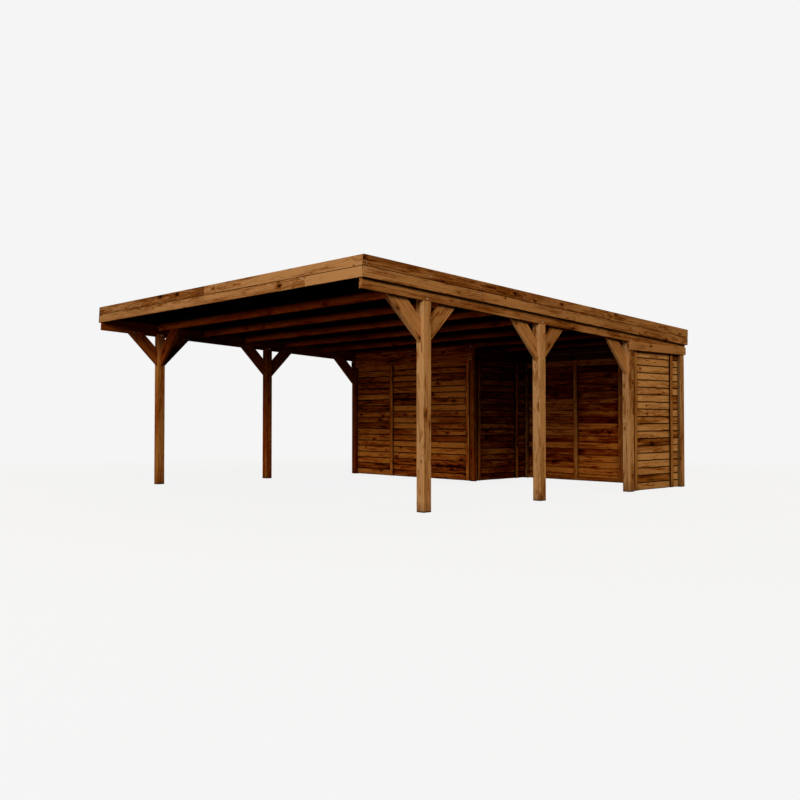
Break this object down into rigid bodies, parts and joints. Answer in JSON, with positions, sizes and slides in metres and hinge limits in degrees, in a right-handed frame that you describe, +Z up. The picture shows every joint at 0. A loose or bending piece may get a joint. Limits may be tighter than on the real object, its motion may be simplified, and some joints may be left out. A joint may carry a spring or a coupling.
{
  "type": "double carport with store",
  "caption": "Flat-roofed double timber carport on braced square posts, with a boarded store at the back left and an open nook at the back right.",
  "frame": {"origin": "on the ground under the middle of the roof", "axes": "+X to the right seen from the car entry, +Y from the car entry to the back, +Z up"},
  "size_m": [6.352, 6.8532, 2.8332],
  "materials": {
    "post": "sawn, stained brown",
    "beam": "sawn, stained brown",
    "rafter": "sawn, stained brown",
    "fascia": "sawn, stained brown",
    "wall_board": "sawn, stained brown",
    "felt": "mineral roofing felt"
  },
  "bodies": {
    "root": {"post_front_left": "post", "post_front_right": "post", "post_middle_left": "post", "post_middle_right": "post", "post_store_left": "post", "post_store_right": "post", "post_store_inner": "post", "post_back_left": "post", "post_back_right": "post", "post_back_inner": "post", "beam_left": "beam", "beam_right": "beam", "trimmer_front": "rafter", "rafter_1": "rafter", "rafter_2": "rafter", "rafter_3": "rafter", "rafter_4": "rafter", "rafter_5": "rafter", "rafter_6": "rafter", "rafter_7": "rafter", "trimmer_back": "rafter", "braces_front_left": "beam", "braces_front_right": "beam", "braces_middle_left": "beam", "braces_middle_right": "beam", "brace_store_left": "beam", "brace_store_right": "beam", "fascia_front": "fascia", "fascia_back": "fascia", "fascia_left": "fascia", "fascia_right": "fascia", "roof_boards": "rafter", "roof_felt": "felt", "wall_store_front": "wall_board", "wall_store_inner": "wall_board", "wall_store_left": "wall_board", "wall_store_back": "wall_board", "wall_nook_back": "wall_board", "wall_nook_right": "wall_board", "header_store_front": "fascia", "header_store_inner": "fascia", "header_left": "fascia", "header_right": "fascia", "header_back": "fascia"}
  },
  "joints": []
}
